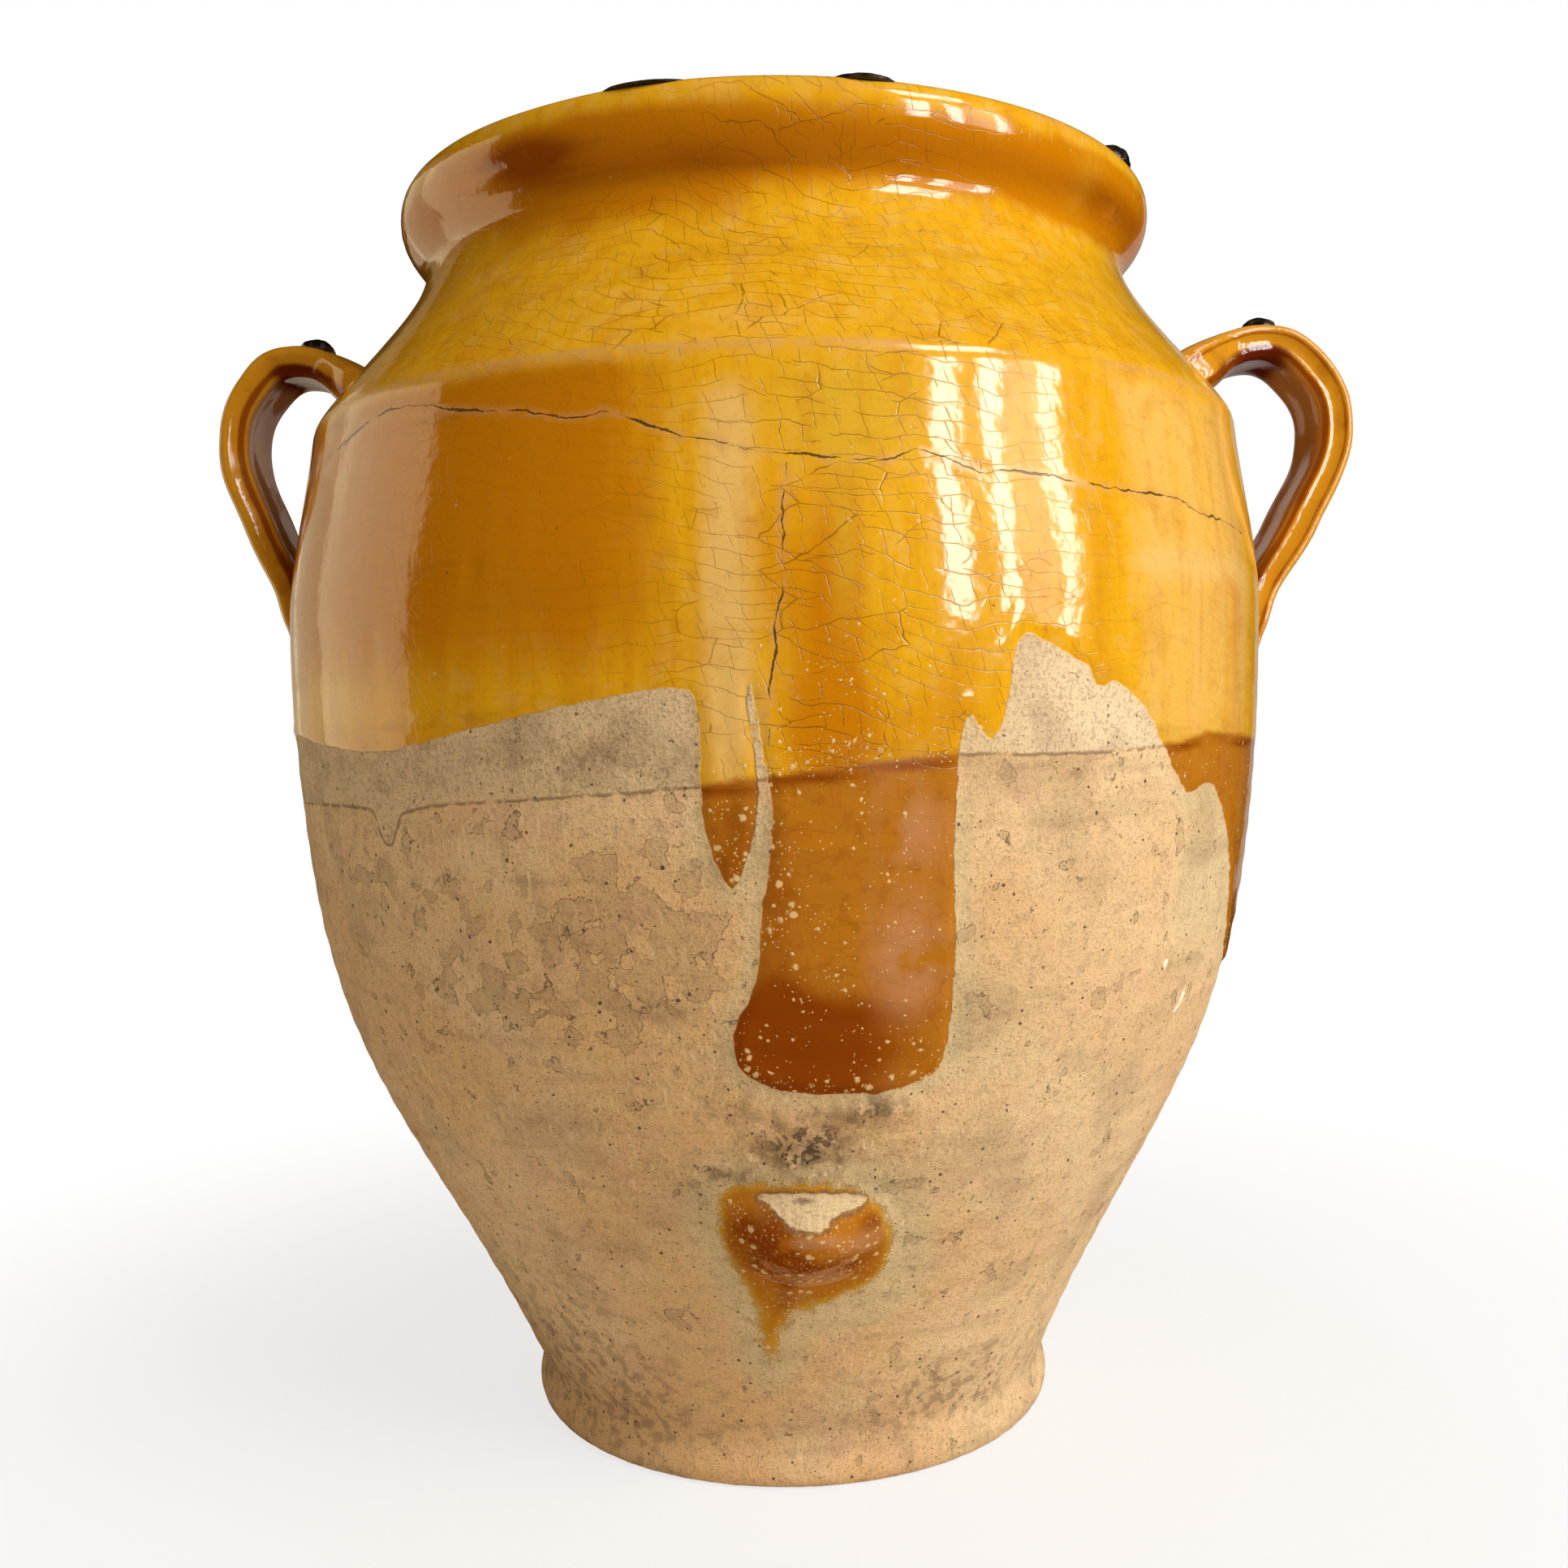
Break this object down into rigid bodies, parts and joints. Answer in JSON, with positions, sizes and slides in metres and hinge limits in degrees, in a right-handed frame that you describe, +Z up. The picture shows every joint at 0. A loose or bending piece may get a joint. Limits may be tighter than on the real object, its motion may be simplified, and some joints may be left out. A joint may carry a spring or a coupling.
{
  "type": "grease pot",
  "caption": "Two-handled earthenware grease pot with a flared rim, a sharp shoulder ridge, a full belly and a narrow flat foot, glazed above and bare below.",
  "frame": {"origin": "centre of the flat base, on the surface that the pot stands on", "axes": "+Z up along the pot's turned axis; the two handles lie along -X and +X; the kiln scar faces -Y, which is the front"},
  "size_m": [0.2993, 0.25, 0.3146],
  "materials": {
    "pot_body": "honey-yellow lead glaze, crazed, over a pale slip on the upper half and inside; bare tan earthenware below",
    "handles": "amber glaze, pale on the edges and red-brown where it pooled in the hollows",
    "kiln_lumps": "black vitrified kiln slag, semi-gloss",
    "kiln_scar": "orange-brown glaze with pale specks, and a creamy broken face"
  },
  "bodies": {
    "root": {"pot_body": "pot_body", "left_handle": "handles", "right_handle": "handles", "rim_lump_left": "kiln_lumps", "rim_lump_front": "kiln_lumps", "rim_lump_right": "kiln_lumps", "left_handle_lump": "kiln_lumps", "right_handle_lump": "kiln_lumps", "kiln_scar": "kiln_scar"}
  },
  "joints": []
}
